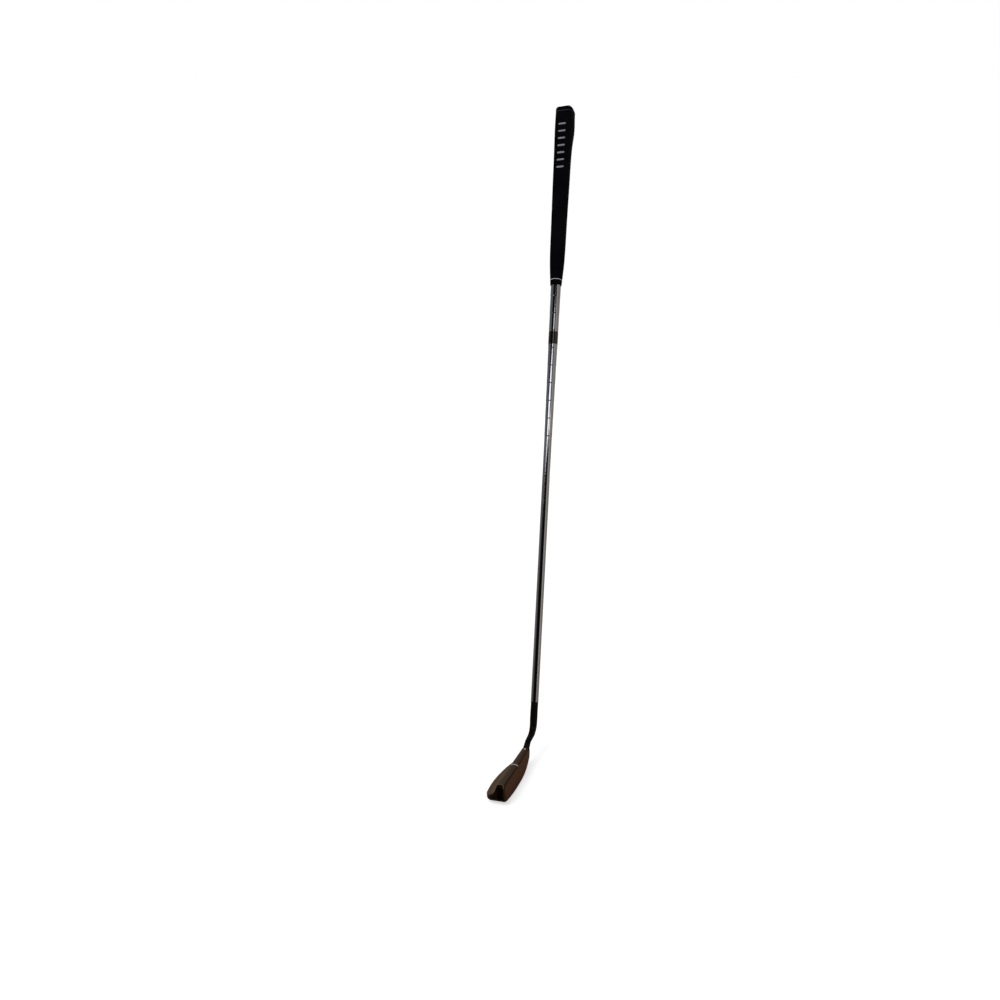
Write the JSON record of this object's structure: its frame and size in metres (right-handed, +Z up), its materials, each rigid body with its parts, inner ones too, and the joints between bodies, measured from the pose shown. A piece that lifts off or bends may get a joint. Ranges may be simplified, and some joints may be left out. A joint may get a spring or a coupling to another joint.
{
  "type": "blade putter",
  "caption": "Right-handed golf putter with a bronzed blade and flange, a bent black neck, a stepped chrome shaft and a pistol-shaped rubber grip.",
  "frame": {"origin": "on the ground under the alignment line, on the flat of the sole, in the plane of the shaft", "axes": "+X towards the heel, -Y the way the face looks, +Z up; the shaft leans towards +X in the XZ plane"},
  "size_m": [0.4021, 0.0386, 0.873],
  "materials": {
    "bronzed_brass": "dark antique bronze, satin",
    "white_paint": "white paint fill, satin",
    "black_enamel": "black enamel, satin",
    "adhesive": "cured epoxy",
    "chromed_steel": "polished chrome plate",
    "gloss_label": "black gloss film",
    "grip_rubber": "moulded matt rubber",
    "paper_tape": "thin paper tape"
  },
  "bodies": {
    "root": {"head": "bronzed_brass", "alignment_line": "white_paint", "alignment_dot": "white_paint", "neck": "black_enamel", "neck_bond": "adhesive", "shaft": "chromed_steel", "shaft_bond": "adhesive", "shaft_band": "gloss_label", "grip": "grip_rubber", "grip_cap": "grip_rubber", "grip_ring": "white_paint", "grip_marks": "white_paint", "grip_tape": "paper_tape"}
  },
  "joints": []
}
